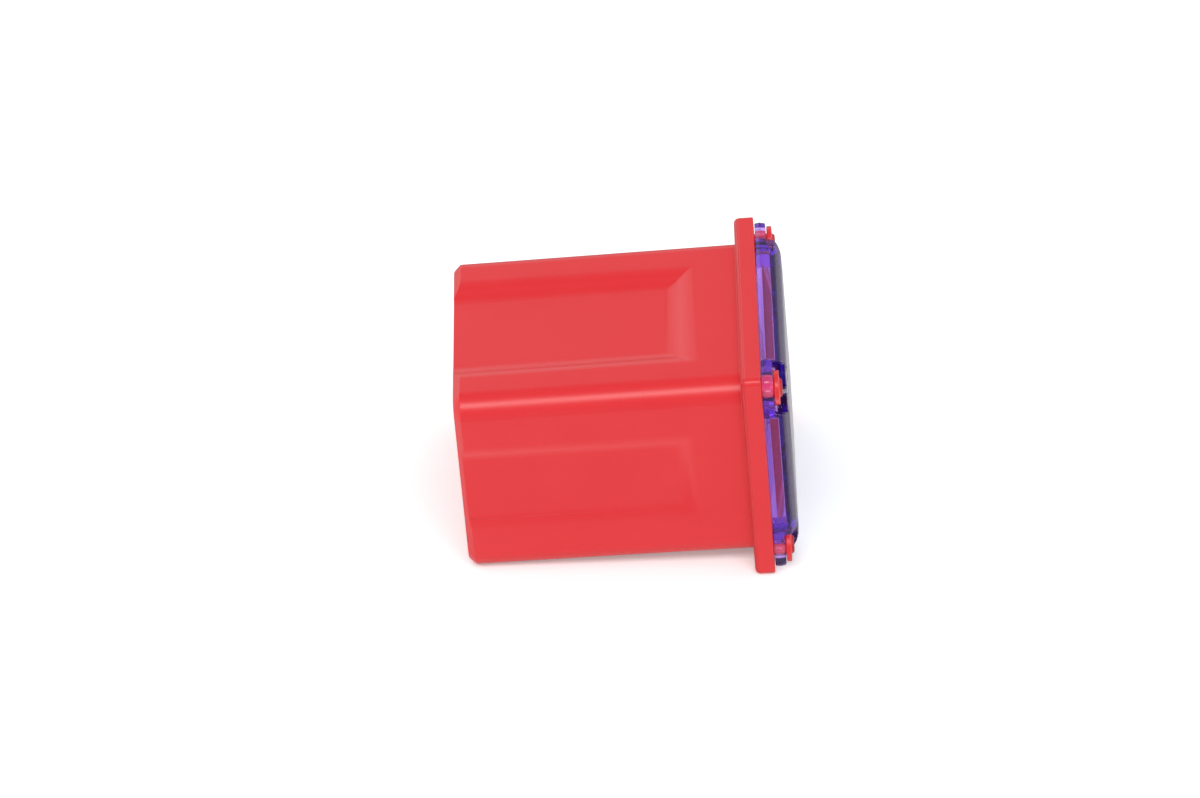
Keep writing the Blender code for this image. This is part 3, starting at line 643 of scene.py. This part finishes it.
def add_soft_box(name, place, width, height, power):
    """Hang a rectangular lamp and turn it toward the middle of the fuse."""
    lamp = bpy.data.lights.new(name, "AREA")
    lamp.shape = "RECTANGLE"
    lamp.size, lamp.size_y = width, height
    lamp.energy = power
    box = bpy.data.objects.new(name, lamp)
    box.location = place
    box.rotation_euler = (Vector((0.0, 0.0, AXIS)) - Vector(place)).to_track_quat("-Z", "Y").to_euler()
    bpy.context.scene.collection.objects.link(box)


add_soft_box("soft_box_front", (0.0, -0.35, 0.49), width=0.6, height=0.2, power=1.75)
add_soft_box("soft_box_back", (-0.28, 0.48, 0.23), width=0.5, height=0.3, power=0.25)

# Each card spans two angles above the camera's side of the table, seen from the fuse.
FLAG_WIDTH = 1.4
FLAG_DISTANCE = 0.75

# Dead matt black card.
black_card = bpy.data.materials.new("black_card")
black_card.use_nodes = True
black_paper = black_card.node_tree.nodes["Principled BSDF"]
black_paper.inputs["Base Color"].default_value = linear("#262626")
black_paper.inputs["Roughness"].default_value = 0.9
for name, low_angle, high_angle in (("flag_low", 0.0, 38.0), ("flag_high", 70.0, 122.0)):
    middle, half_angle = math.radians(high_angle + low_angle) / 2, math.radians(high_angle - low_angle) / 2
    reach = FLAG_DISTANCE * math.cos(half_angle)
    bpy.ops.object.select_all(action="DESELECT")
    bpy.ops.mesh.primitive_plane_add(size=1.0, rotation=(math.pi / 2 - middle, 0.0, 0.0),
                                     location=(0.0, -reach * math.cos(middle), reach * math.sin(middle)))
    flag = bpy.context.object
    flag.name = name
    flag.scale = (FLAG_WIDTH, 2 * FLAG_DISTANCE * math.sin(half_angle), 1.0)
    bpy.ops.object.transform_apply(location=True, rotation=True, scale=True)
    flag.visible_camera = False
    flag.visible_shadow = False
    flag.visible_diffuse = False
    flag.visible_transmission = False
    flag.data.materials.append(black_card)

# Camera

# Where the photograph was taken from: level with the fuse's side, 36 degrees above it and
# turned a little toward the cap, with a long lens.

SENSOR = 36.0
IMAGE_PIXELS = 1200
FOCAL_PIXELS = 7627
DISTANCE = 405.1 * MM
aim = Vector((-1.342, 0.0, 6.69)) * MM
azimuth, elevation, roll = math.radians(-2.52), math.radians(35.72), math.radians(-5.29)
forward = Vector((math.sin(azimuth) * math.cos(elevation), math.cos(azimuth) * math.cos(elevation),
                  -math.sin(elevation)))
right = Vector((math.cos(azimuth), -math.sin(azimuth), 0.0))
up = right.cross(forward)
image_right = math.cos(roll) * right + math.sin(roll) * up
image_up = -math.sin(roll) * right + math.cos(roll) * up
view = bpy.data.cameras.new("camera")
view.sensor_width = SENSOR
view.lens = FOCAL_PIXELS * SENSOR / IMAGE_PIXELS
view.clip_start, view.clip_end = 0.01, 10.0
camera = bpy.data.objects.new("camera", view)
turn = Matrix((image_right, image_up, -forward)).transposed()
camera.matrix_world = Matrix.Translation(aim - DISTANCE * forward) @ turn.to_4x4()
bpy.context.scene.collection.objects.link(camera)
bpy.context.scene.camera = camera
bpy.context.scene.view_settings.view_transform = "Standard"
